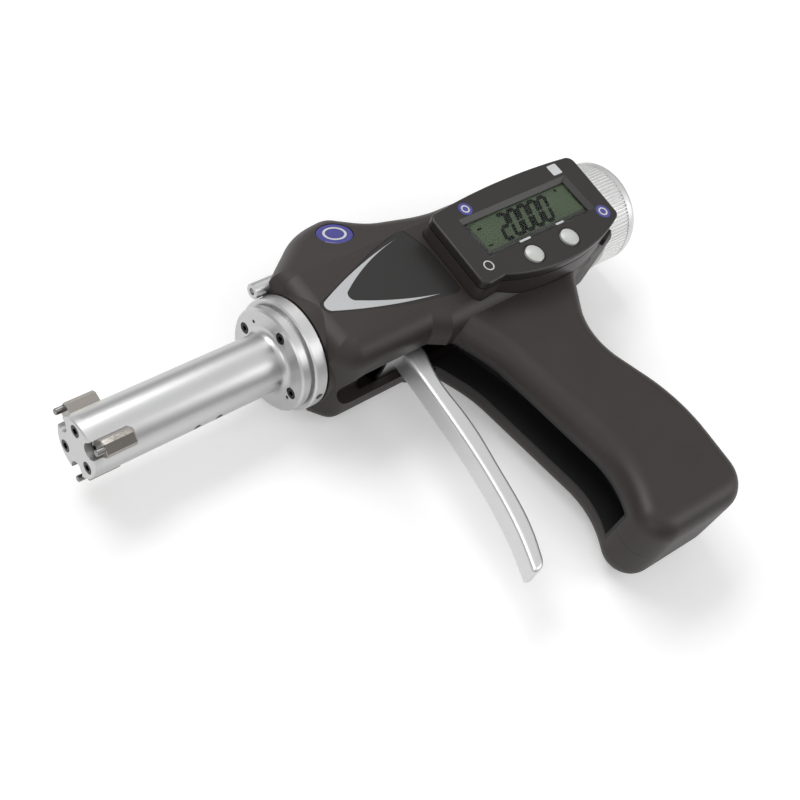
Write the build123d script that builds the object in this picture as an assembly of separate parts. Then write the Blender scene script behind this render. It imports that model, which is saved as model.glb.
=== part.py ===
from build123d import *
import os
from math import atan, cos, degrees, radians, sin

# A pistol-grip bore gauge that centres itself in a hole with three anvils.
# Squeezing the trigger pulls a cone back, so that the anvils draw in.
# Letting go lets a spring push the cone forward, and the anvils open onto the bore.
#
# While it is modelled, X runs along the barrel from the face of the measuring head,
# Y points away from the grip and Z points out of the display. Angles about the barrel
# start at Y and turn towards Z. At the end everything moves, so that the origin is under
# the middle of the box that holds the whole gauge, which lies on its right side.

# Measuring head, which is modelled from its own face back to its flange
nose_face = 69.7
head_radius = 9.35
head_bore_radius = 6.85
cap_thickness = 2.5
barrel_length = 66.7
flange_radius = 16.7
flange_thickness = 3.0
flange_fillet = 2.2
flange_chamfer = 0.6
cap_screw_circle = 6.3
cap_screw_head_radius = 1.9
cap_screw_head_depth = 1.7
cap_screw_shank_radius = 1.0
cap_screw_length = 6.5
flange_screw_count = 4
flange_screw_circle = 12.6
flange_screw_angle = 5.0
flange_screw_head_radius = 1.7
flange_screw_head_depth = 1.8
flange_screw_shank_radius = 1.0
flange_screw_length = 11.0
spanner_hole_radius = 0.6
spanner_hole_angles = (35.0, 199.0)
barrel_hole_radius = 1.1
barrel_hole_places = (34.7, 42.4)
barrel_hole_angle = 188.0

# Anvils and the cone that drives them
anvil_count = 3
anvil_first_angle = 12.0
anvil_width = 5.2
anvil_start = 2.6
anvil_length = 9.7
anvil_crest = 12.8
anvil_crest_chamfer = 1.1
anvil_shoulder = 7.0
anvil_foot_width = 3.2
anvil_foot_length = 6.2
anvil_tip_radius = 1.0
anvil_tip_crest = 12.7
anvil_tip_depth = 3.0
anvil_travel = 3.0
slot_floor = 5.4
cone_front = 2.9
cone_length = 19.5
cone_contact_radius = 4.1

# Push rod, its bushes and the return spring
rod_radius = 2.5
rod_end = 172.0
bush_places = (57.0, 77.0, 142.0)
bush_length = 9.0
bush_wall = 1.6
collar_radius = 9.5
collar_thickness = 4.0
spring_wire = 0.7
spring_clearance = 0.4
spring_coils = 8
spring_seat_place = 146.0
spring_seat_thickness = 4.0

# Nose ring and the metal blocks in the housing
ring_radius = 18.2
ring_gap = 0.5
ring_length = 5.0
ring_chamfer = 0.5
ring_bore_radius = 7.4
ring_grub_radius = 1.2
ring_grub_angle = 178.0
front_block_length = 12.5
rear_block_length = 22.0

# Housing, seen from its side
housing_gap = 0.4
housing_half = 18.6
housing_edge = 7.0
grip_edge = 6.5
nose_barrel_radius = 18.4
nose_barrel_end = 96.0
crown_edge = 13.0
crown_slope = 0.4
tail_top = 18.0
tail_bottom = -18.2
tail_end = 203.5
belly = -21.2
wall = 2.6
pocket_half = 11.2
slot_start = 79.5
liner_wall = 1.1
slot_half = 7.7
channel_floor = 16.4
grip_hollow_floor = 20.4
front_tunnel_radius = 15.0
rear_tunnel_radius = 12.0
grip_half = 16.0
grip_floor = -117.4
hump_top = 33.0

# Trigger
pivot_x = 103.0
pivot_y = 22.0
pivot_pin_radius = 2.0
pivot_pin_half = 12.6
trigger_swing = 20.0
trigger_half = 4.2
trigger_edge = 1.3
cheek_inner = 6.7
cheek_thickness = 3.6
cheek_eye_radius = 4.2
nose_radius = 3.0
bridge_top = -14.8
bridge_bottom = -18.2

# Stop screw that the left cheek rests on
stop_screw_y = 18.3
stop_screw_z = 10.1
stop_screw_front = 71.0
stop_screw_head_radius = 2.5
stop_screw_shank_radius = 1.4
stop_screw_head_length = 14.0
stop_screw_tip = 98.2

# Display
display_left = 130.0
display_right = 200.0
display_top = 11.4
display_bottom = -24.4
display_sink = 4.0
display_joint_rise = 4.8
display_ledge_rise = 6.8
display_face_rise = 8.3
display_wall = 1.8
gasket_thickness = 0.6
gasket_inset = 0.6
window_left = 141.0
window_right = 189.8
window_bottom = -10.5
window_top = 2.9
window_slope = 1.6
window_thickness = 0.8
lcd_thickness = 1.8
board_thickness = 1.4
board_rise = 2.9
button_places = ((154.9, -17.5), (172.3, -17.4))
button_radius = 3.3
button_flange = 0.8
button_crown = 1.0
button_travel = 0.7
battery_radius = 10.0
battery_thickness = 3.2
battery_place = (182.4, -4.4)
display_corner = 3.0
display_screw_places = ((136.0, 6.2), (195.6, 6.6), (135.4, -15.6), (193.6, -13.6))
boss_radius = 2.2
display_screw_radius = 0.9
display_screw_head_radius = 1.6
display_screw_head_length = 1.0
button_clearance = 0.15
port_width = 6.4
port_height = 2.6

# Rear knob and the travel stop that it moves
knob_radius = 18.5
knob_length = 18.2
knob_gap = 0.8
knob_rim = 2.2
knob_plain_rim = 4.2
knob_teeth = 90
knob_tooth_depth = 0.45
spindle_radius = 4.0
travel_stop_radius = 7.0
travel_stop_length = 8.0
travel_stop_start = 182.5
travel_stop_travel = 3.0

# Rear spindle
spindle_shoulder = 194.0
thread_radius = 3.0
travel_stop_flat = 5.6

# Inset panel, stripe and badge on the left side
panel_depth = 0.9
panel_corner = 2.4
panel_tip = 1.5
stripe_upper_end = (121.4, 11.4)
stripe_lower_end = (120.5, -12.4)
badge_x = 107.0
badge_y = 24.0
badge_radius = 6.0
badge_depth = 0.9

# Housing screws, driven in from the right
housing_screw_places = (
    (84.0, 18.4), (124.6, 18.8), (196.5, -14.6), (163.0, -30.0),
    (160.0, grip_floor + 13.4), (141.0, grip_floor + 10.4),
)
housing_screw_head_radius = 2.6
housing_screw_head_length = 3.0
housing_screw_shank_radius = 1.5
housing_screw_sink = 1.2
housing_screw_reach = 7.0

# Fits
running = 0.05
loose = 0.2
socket_depth = 1.1

# Places that follow from the sizes above
flange_back = nose_face
head_start = nose_face - flange_thickness - barrel_length
ring_front = flange_back + ring_gap
ring_back = ring_front + ring_length
housing_front = ring_back + housing_gap
knob_front = tail_end + knob_gap
collar_front = pivot_x + nose_radius + 0.15
rod_travel = pivot_y * radians(trigger_swing)
cone_slope = anvil_travel / rod_travel
front_block_radius = front_tunnel_radius - 0.1
rear_block_radius = rear_tunnel_radius - 0.1
rear_block_start = tail_end - rear_block_length
channel_end = grip_floor + channel_floor
flange_screw_end = nose_face - flange_thickness + flange_screw_head_depth + flange_screw_length
anvil_back = anvil_start + anvil_length
cheek_outer = cheek_inner + cheek_thickness
spring_radius = rod_radius + bush_wall + spring_clearance + spring_wire
display_floor = housing_half - display_sink
display_joint = housing_half + display_joint_rise
display_ledge = housing_half + display_ledge_rise
display_face = housing_half + display_face_rise
board_top = housing_half + board_rise
anvil_angles = [anvil_first_angle + 360 / anvil_count * n for n in range(anvil_count)]


def bar(start, end, radius, y=0.0, z=0.0):
    """A round bar along X."""
    place = Pos(start, y, z) * Rot(0, 90, 0)
    return place * Cylinder(radius, end - start, align=(Align.CENTER, Align.CENTER, Align.MIN))


def post(x, y, low, high, radius):
    """An upright round bar, from one height to another."""
    return Pos(x, y, low) * Cylinder(radius, high - low, align=(Align.CENTER, Align.CENTER, Align.MIN))


def turned(*points):
    """A turned piece, from points given as place along X and radius."""
    return revolve(make_face(Polyline(*points, close=True)), Axis.X)


def block(low, high):
    """A box between two corners."""
    size = [b - a for a, b in zip(low, high)]
    middle = [(a + b) / 2 for a, b in zip(low, high)]
    return Pos(*middle) * Box(*size)


def around(angle):
    """Turns what is modelled along +Y by an angle about the barrel."""
    return Rot(angle, 0, 0)


def polar(angle, radius):
    """Y and Z of a place about the barrel."""
    return radius * cos(radians(angle)), radius * sin(radians(angle))


def hexagon_socket(place, across, depth):
    """The hexagonal hole in the front of a screw that points along X."""
    socket = extrude(RegularPolygon(across / 2, 6, major_radius=False), depth)
    return place * Rot(0, 90, 0) * socket


def side_plate(outline, low, high):
    """A plate cut to an outline seen from the display's side, between two heights."""
    return extrude(Pos(0, 0, low) * outline, high - low)


def barrel():
    back = barrel_length + flange_thickness
    body = turned(
        (cap_thickness, 0), (cap_thickness, head_radius), (barrel_length, head_radius),
        (barrel_length, flange_radius - flange_chamfer),
        (barrel_length + flange_chamfer, flange_radius), (back, flange_radius), (back, 0),
    )
    corner = [e for e in body.edges().filter_by(GeomType.CIRCLE)
              if abs(e.center().X - barrel_length) < 0.01 and abs(e.radius - head_radius) < 0.01]
    body = fillet(corner, flange_fillet)
    body -= bar(0, anvil_back + 28, head_bore_radius)
    body -= bar(anvil_back, back, rod_radius + bush_wall)
    for angle in anvil_angles:
        half = anvil_width / 2 + running
        body -= around(angle) * block((0, 0, -half), (anvil_back + running, 20, half))
    for angle in anvil_angles:
        y, z = polar(angle + 60, cap_screw_circle)
        body -= bar(0, cap_screw_length, cap_screw_shank_radius, y, z)
    for n in range(flange_screw_count):
        y, z = polar(flange_screw_angle + 360 / flange_screw_count * n, flange_screw_circle)
        head_end = barrel_length + flange_screw_head_depth
        body -= bar(barrel_length - 5, head_end, flange_screw_head_radius + loose, y, z)
        body -= bar(barrel_length, back, flange_screw_shank_radius + loose, y, z)
    for angle in spanner_hole_angles:
        y, z = polar(angle, flange_screw_circle)
        body -= bar(barrel_length - 2, barrel_length + 2, spanner_hole_radius, y, z)
    for place in barrel_hole_places:
        hole = Pos(place, head_radius, 0) * Rot(90, 0, 0) * Cylinder(barrel_hole_radius, 8)
        body -= around(barrel_hole_angle) * hole
    return body


def end_cap():
    cap = turned(
        (0, 0), (0, head_radius - 0.3), (0.3, head_radius), (cap_thickness, head_radius),
        (cap_thickness, 0),
    )
    for angle in anvil_angles:
        half = anvil_width / 2 + running
        slot = around(angle) * block((-1, slot_floor + half, -half), (5, 20, half))
        slot += around(angle) * bar(-1, 5, half, slot_floor + half, 0)
        cap -= slot
        y, z = polar(angle + 60, cap_screw_circle)
        cap -= bar(-1, cap_screw_head_depth, cap_screw_head_radius + running, y, z)
        cap -= bar(0, 5, cap_screw_shank_radius + running, y, z)
    return cap


def socket_screw(head, head_length, shank_radius, shank_length, across):
    """A socket screw whose head starts at X 0 and whose shank points along +X."""
    screw = bar(0, head_length, head) + bar(head_length, head_length + shank_length, shank_radius)
    rim = [e for e in screw.edges().filter_by(GeomType.CIRCLE)
           if abs(e.center().X) < 0.01]
    screw = chamfer(rim, 0.2)
    return screw - hexagon_socket(Pos(0, 0, 0), across, min(socket_depth, head_length * 0.7))


def cap_screws():
    screw = socket_screw(cap_screw_head_radius, cap_screw_head_depth, cap_screw_shank_radius,
                         cap_screw_length - cap_screw_head_depth - 0.3, 1.9)
    places = [polar(angle + 60, cap_screw_circle) for angle in anvil_angles]
    return [Pos(0, y, z) * screw for y, z in places]


def flange_screws():
    screw = socket_screw(flange_screw_head_radius, flange_screw_head_depth, flange_screw_shank_radius,
                         flange_screw_length, 1.6)
    places = [polar(flange_screw_angle + 360 / flange_screw_count * n, flange_screw_circle)
              for n in range(flange_screw_count)]
    return [Pos(barrel_length, y, z) * screw for y, z in places]


def cone_radius(x):
    """The cone's radius at a place along X, at rest, where the anvils' feet meet it."""
    foot_start = anvil_back - anvil_foot_length
    return cone_contact_radius + cone_slope * (x - foot_start)


def cone():
    guide = head_bore_radius - running
    shoulder = anvil_back - anvil_foot_length + (guide - cone_contact_radius) / cone_slope
    body = turned(
        (cone_front, 0), (cone_front, cone_radius(cone_front)), (shoulder, guide),
        (cone_front + cone_length, guide), (cone_front + cone_length, 0),
    )
    return body - bar(cone_front + cone_length - 8, cone_front + cone_length, rod_radius)


def anvil(angle):
    foot_start = anvil_back - anvil_foot_length
    half = anvil_width / 2
    head = block((anvil_start, anvil_shoulder, -half), (anvil_back, anvil_crest, half))
    crest = [e for e in head.edges().filter_by(Axis.X) if e.center().Y > anvil_crest - 0.01]
    head = chamfer(crest, anvil_crest_chamfer)
    ends = [e for e in head.edges().filter_by(Axis.Z) if e.center().Y > anvil_crest - 0.01]
    head = fillet(ends, 0.4)
    gap = 0.03
    side = Polyline(
        (foot_start, anvil_shoulder), (foot_start, cone_radius(foot_start) + gap),
        (anvil_back, cone_radius(anvil_back) + gap), (anvil_back, anvil_shoulder), close=True,
    )
    foot = extrude(Pos(0, 0, -anvil_foot_width / 2) * make_face(side), anvil_foot_width)
    whole = head + foot
    whole -= bar(0, anvil_start + anvil_tip_depth, anvil_tip_radius, anvil_tip_crest - anvil_tip_radius, 0)
    return around(angle) * whole


def anvil_tip(angle):
    tip = bar(0, anvil_start + anvil_tip_depth, anvil_tip_radius, anvil_tip_crest - anvil_tip_radius, 0)
    tip = chamfer(tip.edges().filter_by(GeomType.CIRCLE).sort_by(Axis.X)[0], 0.15)
    return around(angle) * tip


def push_rod():
    return bar(head_start + cone_front + cone_length - 8, rod_end, rod_radius)


def rod_bush(start, length):
    """A plain bush that the push rod slides in."""
    bush = bar(start, start + length, rod_radius + bush_wall)
    return bush - bar(start, start + length, rod_radius + running)


def thrust_collar():
    back = collar_front + collar_thickness
    ring = bar(collar_front, back, collar_radius) + bar(back, back + 3, rod_radius + bush_wall)
    ring = chamfer(ring.edges().filter_by(GeomType.CIRCLE).sort_by(lambda e: -e.radius)[0:2], 0.4)
    return ring - bar(collar_front, back + 3, rod_radius)


def return_spring():
    """An open helix of round wire between the collar and the spring's seat."""
    start = collar_front + collar_thickness + 0.1
    length = spring_seat_place - 0.1 - start - 2 * spring_wire
    pitch = length / spring_coils
    path = Pos(start + spring_wire, 0, 0) * Rot(0, 90, 0) * Helix(pitch, length, spring_radius)
    section = Plane(origin=path @ 0, z_dir=path % 0) * Circle(spring_wire)
    return sweep(section, path, is_frenet=True)


def spring_seat():
    seat = bar(spring_seat_place, spring_seat_place + spring_seat_thickness, rear_block_radius)
    seat -= bar(spring_seat_place, spring_seat_place + spring_seat_thickness, rod_radius + bush_wall)
    return seat


def nose_ring():
    outer = turned(
        (ring_front, ring_bore_radius), (ring_front, flange_radius - 0.9),
        (ring_front + 0.4, flange_radius - 0.9),
        (ring_front + 0.4, ring_radius - ring_chamfer), (ring_front + 0.4 + ring_chamfer, ring_radius),
        (ring_back - 0.3, ring_radius), (ring_back, ring_radius - 0.3), (ring_back, ring_bore_radius),
    )
    register = turned(
        (flange_back, ring_bore_radius), (flange_back, flange_radius - 0.9),
        (ring_front, flange_radius - 0.9), (ring_front, ring_bore_radius),
    )
    ring = outer + register
    for n in range(flange_screw_count):
        y, z = polar(flange_screw_angle + 360 / flange_screw_count * n, flange_screw_circle)
        ring -= bar(flange_back, ring_back, flange_screw_shank_radius + loose, y, z)
    middle = (ring_front + ring_back) / 2 + 0.2
    hole = Pos(middle, ring_radius - 1.0, 0) * Rot(90, 0, 0) * Cylinder(ring_grub_radius, 5)
    return ring - around(ring_grub_angle) * hole


def ring_grub():
    middle = (ring_front + ring_back) / 2 + 0.2
    grub = Pos(middle, ring_radius - 2.4, 0) * Rot(90, 0, 0) * Cylinder(ring_grub_radius, 2.2)
    socket = extrude(RegularPolygon(0.6, 6, major_radius=False), 0.8)
    grub -= Pos(middle, ring_radius - 1.3, 0) * Rot(90, 0, 0) * socket
    return around(ring_grub_angle) * grub


def front_block():
    start = ring_back
    body = bar(start, start + front_block_length, front_block_radius)
    body -= bar(start, start + front_block_length, rod_radius + bush_wall)
    for n in range(flange_screw_count):
        y, z = polar(flange_screw_angle + 360 / flange_screw_count * n, flange_screw_circle)
        body -= bar(start, flange_screw_end, flange_screw_shank_radius, y, z)
    return body


def rounded(corners):
    """A face from the corners of an outline, each with its radius, or 0 for a sharp one."""
    face = make_face(Polyline(*corners, close=True))
    for corner, radius in corners.items():
        if radius:
            face = fillet(face.vertices().sort_by_distance(Vector(*corner, 0))[0], radius)
    return face


def body_outline():
    """The outline of the housing's upper body, seen from the display's side."""
    return rounded({
        (housing_front, 17.4): 0, (98.0, hump_top - 0.4): 30, (112.5, hump_top + 1.2): 8.5,
        (122.0, 24.0): 14, (140.0, tail_top): 40, (tail_end, tail_top): 0, (tail_end, tail_bottom): 0,
        (182.0, -22.6): 0, (160.0, -24.5): 0, (118.0, -24.5): 0, (112.0, belly): 0, (81.0, belly): 6,
        (housing_front, -14.6): 0,
    })


def grip_outline():
    """The outline of the grip, which runs up into the body."""
    return rounded({
        (190.0, -15.0): 0, (190.0, -21.6): 0, (179.0, -23.0): 12, (163.2, -46.5): 22, (176.2, -80.0): 60,
        (172.8, grip_floor): 12, (121.6, grip_floor + 2.6): 9, (135.6, -90.5): 30, (127.8, -38.0): 40,
        (120.4, -21.8): 8, (111.0, belly): 0, (111.0, -15.0): 0,
    })


def badge_place():
    """The middle of the round badge on the hump's flank, with its own Z out of the surface."""
    height = housing_half - crown_slope * (badge_y - crown_edge)
    return Pos(badge_x, badge_y, height) * Rot(-degrees(atan(crown_slope)), 0, 0)


def channel(half, lift):
    """The space in the front of the grip that the trigger is squeezed into. lift thins it by a lining."""
    outline = rounded({
        (96.0, -17.0): 0, (132.0 - lift, -17.0): 0, (149.5 - lift, -70.0): 60,
        (143.0 - lift, channel_end + lift): 6, (110.0, channel_end + lift): 0, (96.0, -60.0): 0,
    })
    return side_plate(outline, -half, half)


def mechanism_space():
    """Everything that is cut out of the two housing halves for what they hold."""
    space = bar(housing_front - 1, ring_back + front_block_length + 0.3, front_tunnel_radius)
    space += bar(housing_front, tail_end + 1, rear_tunnel_radius)
    space += block((92.0, belly + wall, -pocket_half), (133.0, 11.0, pocket_half))
    crown = Polyline((92.0, 5.0), (94.5, 18.0), (98.0, 25.5), (102.0, 27.0), (108.0, 27.0), (112.0, 23.0),
                     (116.0, 12.0), (118.0, 5.0), close=True)
    space += side_plate(make_face(crown), -pocket_half + 0.7, pocket_half - 0.7)
    slot = block((slot_start + slot_half, -30.0, -slot_half), (112.0, belly + 4.5, slot_half))
    slot_end = Pos(slot_start + slot_half, (belly + 4.5 - 30) / 2, 0) * Rot(90, 0, 0)
    space += slot + slot_end * Cylinder(slot_half, belly + 4.5 + 30)
    space += channel(slot_half, 0)
    hollow_end = grip_floor + grip_hollow_floor
    hollow = Polyline((153.5, -48.0), (158.0, -50.0), (163.5, -68.0), (167.0, -85.0), (167.0, hollow_end),
                      (153.0, hollow_end), (153.5, -85.0), (152.5, -66.0), close=True)
    space += side_plate(make_face(hollow), -grip_half + wall, grip_half - wall)
    return space


def crown():
    """What the body's flank loses where it slants in towards the top of the hump."""
    slant = Polyline(
        (crown_edge, housing_half), (crown_edge + 40, housing_half - 40 * crown_slope),
        (crown_edge + 40, housing_half + 1), (crown_edge, housing_half + 1), close=True,
    )
    across = Plane(origin=(60, 0, 0), x_dir=(0, 1, 0), z_dir=(1, 0, 0))
    return extrude(across * make_face(slant), 170)


def housing_solid():
    """The outside of the left half of the housing, before anything is cut out of it."""
    body = extrude(body_outline(), housing_half) - crown()
    rim = [e for e in body.edges() if min(v.Z for v in e.vertices()) > 3
           and e.length < tail_end - housing_front - 1]
    body = fillet(rim, housing_edge)
    grip = extrude(grip_outline(), grip_half)
    rim = [e for e in grip.edges() if e.center().Z > grip_half - 0.01 and e.center().Y < -16
           and abs(e.center().X - 190.0) > 0.01 and abs(e.center().X - 111.0) > 0.01]
    body += fillet(rim, grip_edge)
    nose = bar(housing_front, nose_barrel_end, nose_barrel_radius)
    return body + (nose & block((housing_front, -20, 0), (nose_barrel_end, 20, 20)))


def housing(side):
    """One half of the housing. side is 1 for the left half, with the display, and -1 for the right."""
    body = housing_solid()
    if side < 0:
        body = mirror(body, Plane.XY)
    body -= mechanism_space()
    body -= Pos(pivot_x, pivot_y, 0) * Cylinder(pivot_pin_radius, 2 * pivot_pin_half)
    if side > 0:
        body -= side_plate(display_outline(-loose), display_floor, housing_half + 5)
        body -= side_plate(panel_outline(-0.1), housing_half - panel_depth, housing_half + 1)
        body -= badge_place() * post(0, 0, -badge_depth, 6, badge_radius + 0.1)
        head_end = stop_screw_front + stop_screw_head_length
        body -= bar(housing_front - 5, head_end, stop_screw_head_radius, stop_screw_y, stop_screw_z)
        body -= bar(housing_front, stop_screw_tip, stop_screw_shank_radius, stop_screw_y, stop_screw_z)
    for x, y in housing_screw_places:
        shank = Pos(x, y, 0) * Cylinder(housing_screw_shank_radius, 2 * housing_screw_reach)
        body -= shank
        if side < 0:
            seat = screw_seat_z(y)
            body -= post(x, y, -housing_half - 5, seat, housing_screw_head_radius + loose)
            body -= post(x, y, seat, 0, housing_screw_shank_radius)
    return body


def screw_seat_z(y):
    """How deep the head of a housing screw seats, in the body or in the thinner grip."""
    skin = housing_half if y > -20 else grip_half
    return -skin + housing_screw_sink + housing_screw_head_length


def housing_screws():
    screws = []
    for x, y in housing_screw_places:
        seat = screw_seat_z(y)
        length = housing_screw_reach - seat
        screw = socket_screw(housing_screw_head_radius, housing_screw_head_length,
                             housing_screw_shank_radius, length, 2.5)
        screws.append(Pos(x, y, seat - housing_screw_head_length) * Rot(0, -90, 0) * screw)
    return screws


def channel_liner():
    """The black U-shaped lining of the space in the front of the grip."""
    lining = channel(slot_half, 0) & side_plate(grip_outline(), -slot_half, slot_half)
    lining -= channel(slot_half - liner_wall, liner_wall)
    lining -= block((90.0, belly - 1, -20), (135.0, 12.0, 20))
    lining -= block((90.0, -30.0, -20), (112.5, 0.0, 20))
    return lining


def trigger():
    front = Spline(
        (104.8, bridge_top), (105.1, -21.1), (104.5, -32.6), (103.2, -47.0), (101.7, -59.5), (99.0, -74.9),
        (96.4, -85.0), (93.9, -92.2), (91.5, -98.0),
    )
    tip = Spline((91.5, -98.0), (94.2, -99.0), (98.0, -95.5), tangents=((0.3, -1), (0.5, 1)))
    back = Spline(
        (98.0, -95.5), (100.8, -89.6), (104.1, -79.3), (106.8, -65.6), (108.9, -54.9), (110.0, -42.1),
        (110.5, -33.0), (112.6, -24.5), (113.4, bridge_bottom),
        tangents=((0.5, 1), (0, 1)),
    )
    top = Polyline((113.4, bridge_bottom), (113.4, bridge_top), (104.8, bridge_top))
    lever = side_plate(make_face([front, tip, back, top]), -trigger_half, trigger_half)
    rims = [e for e in lever.edges() if abs(abs(e.center().Z) - trigger_half) < 0.01
            and e.center().Y < bridge_bottom]
    lever = fillet(rims, trigger_edge)
    whole = lever + block((101.0, bridge_bottom, -cheek_outer), (113.4, bridge_top, cheek_outer))
    cheek = Polyline(
        (99.0, pivot_y), (97.0, 8.0), (96.4, -4.0), (98.4, -13.0), (101.0, bridge_bottom),
        (113.4, bridge_bottom), (113.4, bridge_top), (104.5, -12.0), (101.8, -8.5), (101.6, -4.0),
        (102.4, 4.0), (104.8, 12.0), (107.0, pivot_y), close=True,
    )
    outline = make_face(cheek) + Pos(pivot_x, pivot_y) * Circle(cheek_eye_radius)
    outline += Pos(pivot_x, 0) * Circle(nose_radius)
    for low in (cheek_inner, -cheek_outer):
        whole += side_plate(outline, low, low + cheek_thickness)
    return whole - Pos(pivot_x, pivot_y, 0) * Cylinder(pivot_pin_radius + running, 3 * cheek_outer)


def trigger_pin():
    pin = Pos(pivot_x, pivot_y, 0) * Cylinder(pivot_pin_radius, 2 * pivot_pin_half)
    return chamfer(pin.edges().filter_by(GeomType.CIRCLE), 0.3)


def stop_screw():
    screw = socket_screw(stop_screw_head_radius, stop_screw_head_length, stop_screw_shank_radius,
                         stop_screw_tip - stop_screw_front - stop_screw_head_length, 2.2)
    return Pos(stop_screw_front, stop_screw_y, stop_screw_z) * screw


def panel_outline(inset):
    """The inset panel on the left side: a long triangle with rounded corners and a blunt tip."""
    face = rounded({
        (81.2, 1.0): panel_tip, (110.3, 10.6): 60.0, (125.4, 14.1): panel_corner, (129.0, 4.0): 20.0,
        (128.6, -14.9): panel_corner, (108.2, -11.4): 60.0, (81.8, -2.6): panel_tip,
    })
    return offset(face, amount=-inset, kind=Kind.INTERSECTION) if inset else face


def side_panel():
    panel = side_plate(panel_outline(0), housing_half - panel_depth, housing_half - 0.1)
    return panel - stripe_solid()


def stripe_solid():
    """The silver stripe let into the panel: a blunt tip with two arms that run out to points."""
    nose = (82.4, -0.7)
    upper = ThreePointArc((83.3, 1.1), (101.6, 7.3), stripe_upper_end)
    lower = ThreePointArc(stripe_lower_end, (102.0, -8.6), (83.6, -2.6))
    tip = ThreePointArc((83.6, -2.6), nose, (83.3, 1.1))
    inner_upper = ThreePointArc(stripe_upper_end, (104.6, 6.9), (93.2, 1.4))
    inner_tip = ThreePointArc((93.2, 1.4), (91.9, -1.2), (93.6, -2.9))
    inner_lower = ThreePointArc((93.6, -2.9), (106.4, -8.3), stripe_lower_end)
    outline = make_face([upper, inner_upper, inner_tip, inner_lower, lower, tip])
    return side_plate(outline, housing_half - panel_depth + 0.2, housing_half)


def badge():
    disc = post(0, 0, 0, badge_depth - 0.1, badge_radius)
    disc = fillet(disc.edges().filter_by(GeomType.CIRCLE).sort_by(Axis.Z)[-1], 0.4)
    return badge_place() * Pos(0, 0, -badge_depth) * disc


def display_outline(inset):
    """The display's outline: a bowed top, a bowed bottom and a foot at the bottom left."""
    top = ThreePointArc((display_left + 0.9, 9.8), (165.0, display_top + 0.8), (display_right + 0.5, 10.6))
    right = Line((display_right + 0.5, 10.6), (display_right - 1.4, -17.2))
    belly_arc = ThreePointArc((display_right - 1.4, -17.2), (170.0, display_bottom), (143.6, -21.3))
    foot = Polyline((143.6, -21.3), (139.2, -19.7), (display_left - 0.4, -20.4), (display_left + 0.9, 9.8))
    face = make_face([top, right, belly_arc, foot])
    corners = ((display_left + 0.9, 9.8), (display_right + 0.5, 10.6), (display_right - 1.4, -17.2),
               (display_left - 0.4, -20.4))
    for corner in corners:
        face = fillet(face.vertices().sort_by_distance(Vector(*corner, 0))[0], display_corner)
    return offset(face, amount=-inset, kind=Kind.INTERSECTION) if inset else face


def port_place():
    return Pos(193.6, -19.7, display_floor + 5.0) * Rot(0, 0, 24)


def display_case():
    case = side_plate(display_outline(0), display_floor, display_joint)
    case -= side_plate(display_outline(display_wall), display_floor + display_wall, display_joint + 1)
    for x, y in display_screw_places:
        case += post(x, y, display_floor, display_joint, boss_radius)
        case -= post(x, y, display_floor, display_joint, display_screw_radius)
        case -= post(x, y, display_floor, display_floor + display_screw_head_length,
                     display_screw_head_radius + 0.1)
    return case - port_place() * Box(port_width, 9, port_height)


def port_plug():
    plug = port_place() * Pos(0, 0.2, 0) * Box(port_width, 2.0, port_height)
    return plug


def display_gasket():
    ring = side_plate(display_outline(gasket_inset), display_joint, display_joint + gasket_thickness)
    ring -= side_plate(display_outline(display_wall), display_joint - 1, display_joint + 2)
    return ring


def display_bezel():
    low = display_joint + gasket_thickness
    bezel = side_plate(display_outline(0), low, display_face)
    rim = [e for e in bezel.edges() if e.center().Z > display_face - 0.01]
    bezel = fillet(rim, 0.7)
    bezel -= side_plate(display_outline(display_wall), low - 1, display_ledge)
    x = (window_left + window_right) / 2
    y = (window_bottom + window_top) / 2
    wide = window_right - window_left
    tall = window_top - window_bottom
    throat = Pos(x, y, display_ledge - 0.01) * Rectangle(wide, tall)
    mouth = Pos(x, y, display_face + 0.01) * Rectangle(wide + 2 * window_slope, tall + 2 * window_slope)
    bezel -= loft([throat, mouth])
    for x, y in button_places:
        bezel -= Pos(x, y, display_face) * Cylinder(button_radius + button_clearance, 10)
        bezel -= Pos(x, y, display_face) * Cylinder(button_radius + 0.8, 0.6)
    for x, y in display_screw_places:
        bezel += post(x, y, low, display_ledge, boss_radius)
        bezel -= post(x, y, low, display_ledge - 0.2, display_screw_radius)
    return bezel


def display_screws():
    length = display_ledge - 0.3 - display_floor - display_screw_head_length
    screw = socket_screw(display_screw_head_radius, display_screw_head_length, display_screw_radius,
                         length, 1.2)
    return [Pos(x, y, display_floor) * Rot(0, -90, 0) * screw for x, y in display_screw_places]


def display_window():
    return block((window_left - 1.4, window_bottom - 1.4, display_ledge - window_thickness),
                 (window_right + 1.4, window_top + 1.4, display_ledge))


def lcd_panel():
    top = display_ledge - window_thickness - 0.1
    return block((window_left - 1.8, window_bottom - 1.8, top - lcd_thickness),
                 (window_right + 1.8, window_top + 1.8, top))


def lcd_holder():
    top = display_ledge - window_thickness - 0.1 - lcd_thickness
    frame = block((window_left - 1.8, window_bottom - 1.8, board_top),
                  (window_right + 1.8, window_top + 1.8, top))
    return frame - block((window_left + 1, window_bottom + 1, board_top),
                         (window_right - 1, window_top - 1, top))


def circuit_board():
    board = side_plate(display_outline(display_wall + 0.8), board_top - board_thickness, board_top)
    middle = (display_left + display_right) / 2
    for x, y in display_screw_places:
        notch = 2.4 if x > middle else -2.4
        rise = 2.4 if y > 0 else -2.4
        board -= block((min(x - notch, x + 4 * notch), min(y - rise, y + 4 * rise), display_floor),
                       (max(x - notch, x + 4 * notch), max(y - rise, y + 4 * rise), display_joint))
    return board


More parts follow.
